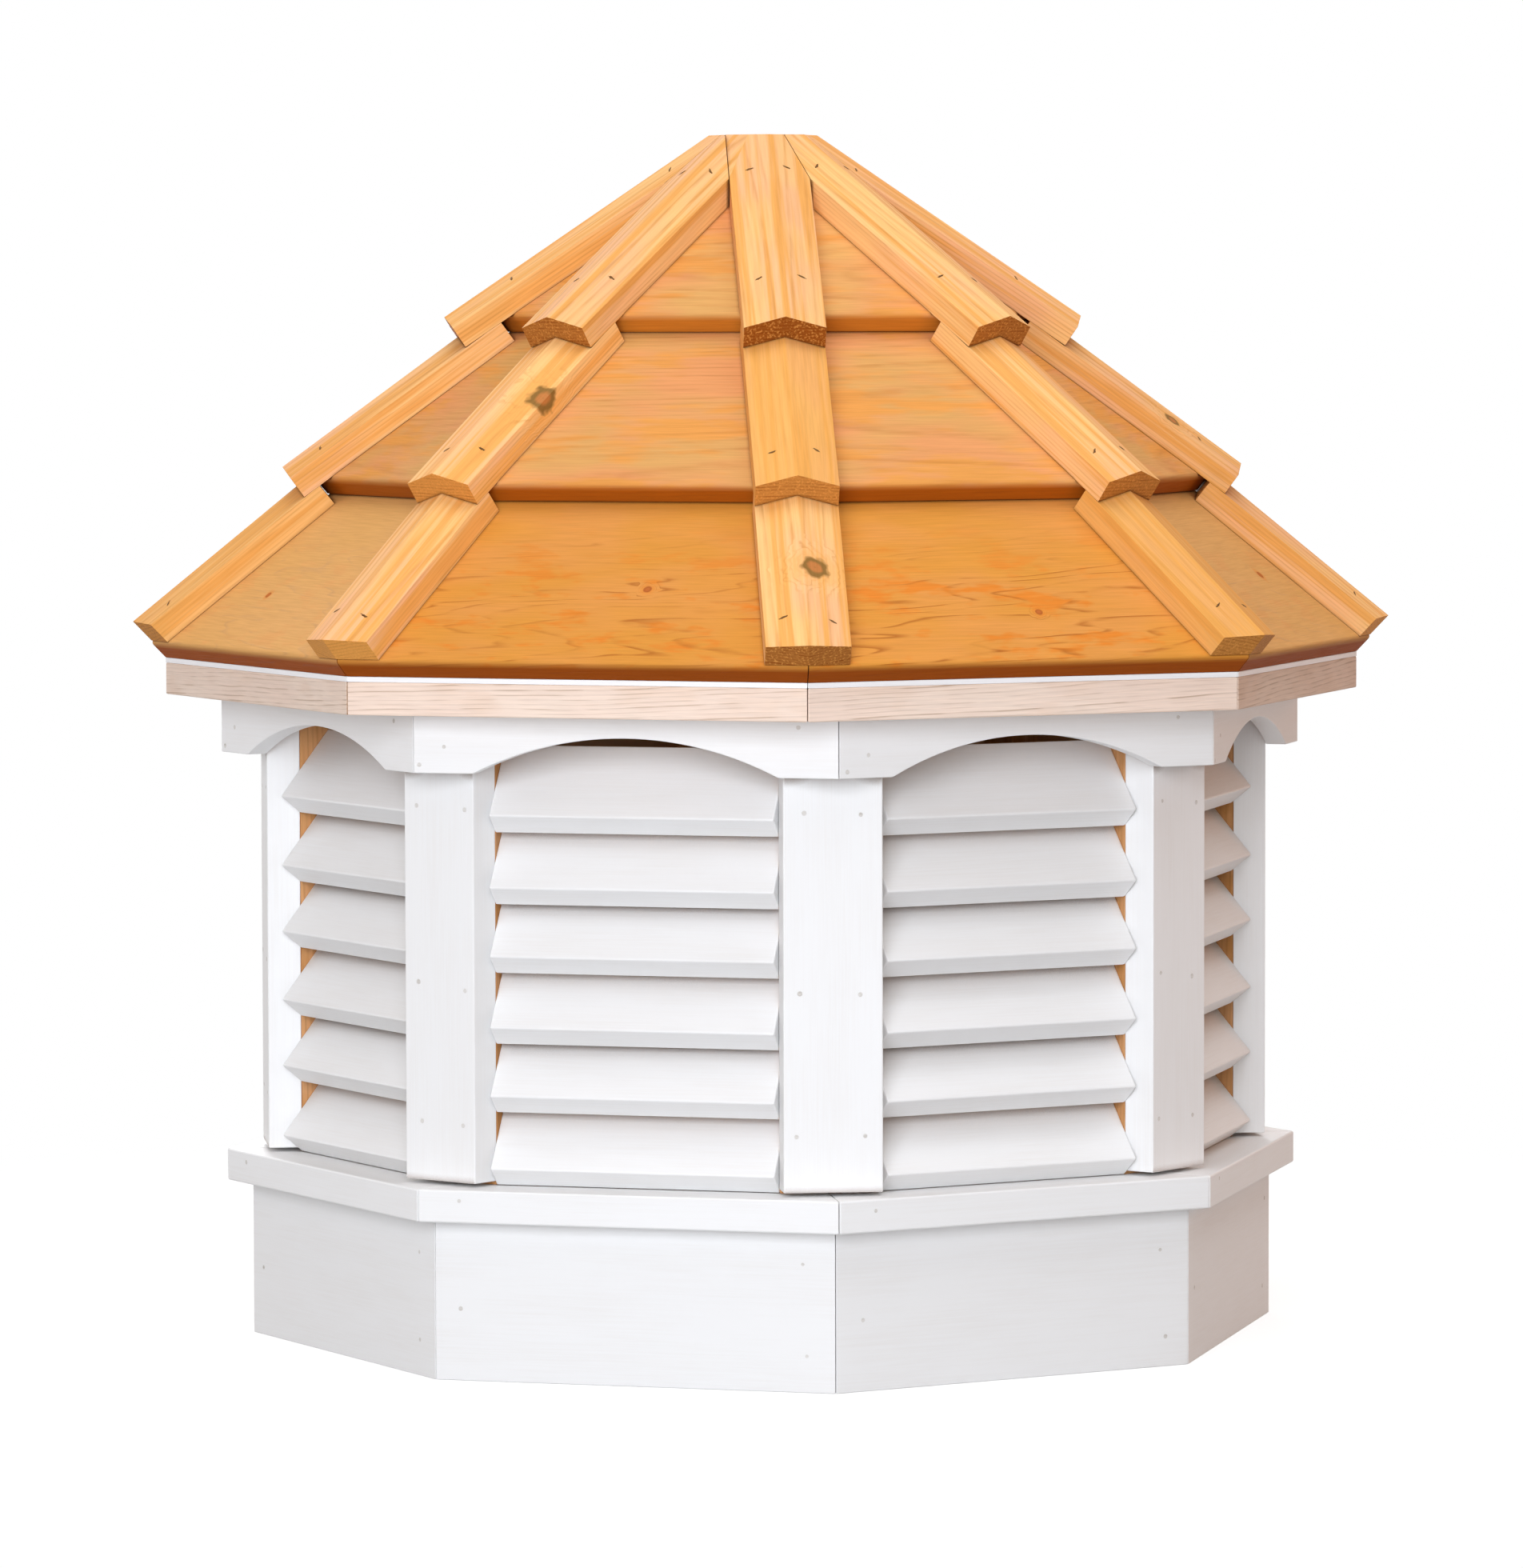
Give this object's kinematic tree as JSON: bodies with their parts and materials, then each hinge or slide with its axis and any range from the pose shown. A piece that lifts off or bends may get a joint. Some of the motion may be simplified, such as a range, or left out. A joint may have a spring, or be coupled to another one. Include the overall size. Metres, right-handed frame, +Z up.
{
  "type": "roof cupola",
  "caption": "Octagonal louvred roof cupola with a white painted wooden body, arched valances, a raw pine eave plate and a stepped cedar board roof with chevron hip caps.",
  "frame": {"origin": "centre of the octagonal skirt's bottom edge, on the surface that it stands on", "axes": "+Z up along the centre line; the body's flats face +X, -X, +Y, -Y and the four diagonals"},
  "size_m": [1.0856, 1.0856, 1.085],
  "materials": {
    "white_painted_pine": "satin white exterior paint",
    "framing_lumber": "bare sawn",
    "raw_pine": "bare planed",
    "white_metal": "white coated",
    "cedar": "bare planed",
    "yellow_pine": "bare planed"
  },
  "bodies": {
    "root": {"skirt_panel_1": "white_painted_pine", "corner_post_1": "white_painted_pine", "louvre_bank_1": "white_painted_pine", "valance_1": "white_painted_pine", "skirt_panel_2": "white_painted_pine", "corner_post_2": "white_painted_pine", "louvre_bank_2": "white_painted_pine", "valance_2": "white_painted_pine", "skirt_panel_3": "white_painted_pine", "corner_post_3": "white_painted_pine", "louvre_bank_3": "white_painted_pine", "valance_3": "white_painted_pine", "skirt_panel_4": "white_painted_pine", "corner_post_4": "white_painted_pine", "louvre_bank_4": "white_painted_pine", "valance_4": "white_painted_pine", "skirt_panel_5": "white_painted_pine", "corner_post_5": "white_painted_pine", "louvre_bank_5": "white_painted_pine", "valance_5": "white_painted_pine", "skirt_panel_6": "white_painted_pine", "corner_post_6": "white_painted_pine", "louvre_bank_6": "white_painted_pine", "valance_6": "white_painted_pine", "skirt_panel_7": "white_painted_pine", "corner_post_7": "white_painted_pine", "louvre_bank_7": "white_painted_pine", "valance_7": "white_painted_pine", "skirt_panel_8": "white_painted_pine", "corner_post_8": "white_painted_pine", "louvre_bank_8": "white_painted_pine", "valance_8": "white_painted_pine", "sill_boards": "white_painted_pine", "corner_cleats": "framing_lumber", "corner_studs": "framing_lumber", "hip_rafters": "framing_lumber", "kingpost": "framing_lumber", "eave_plate": "raw_pine", "drip_edge": "white_metal", "lower_roof_boards": "cedar", "lower_hip_caps": "yellow_pine", "middle_roof_boards": "cedar", "middle_hip_caps": "yellow_pine", "upper_roof_boards": "cedar", "upper_hip_caps": "yellow_pine"}
  },
  "joints": []
}
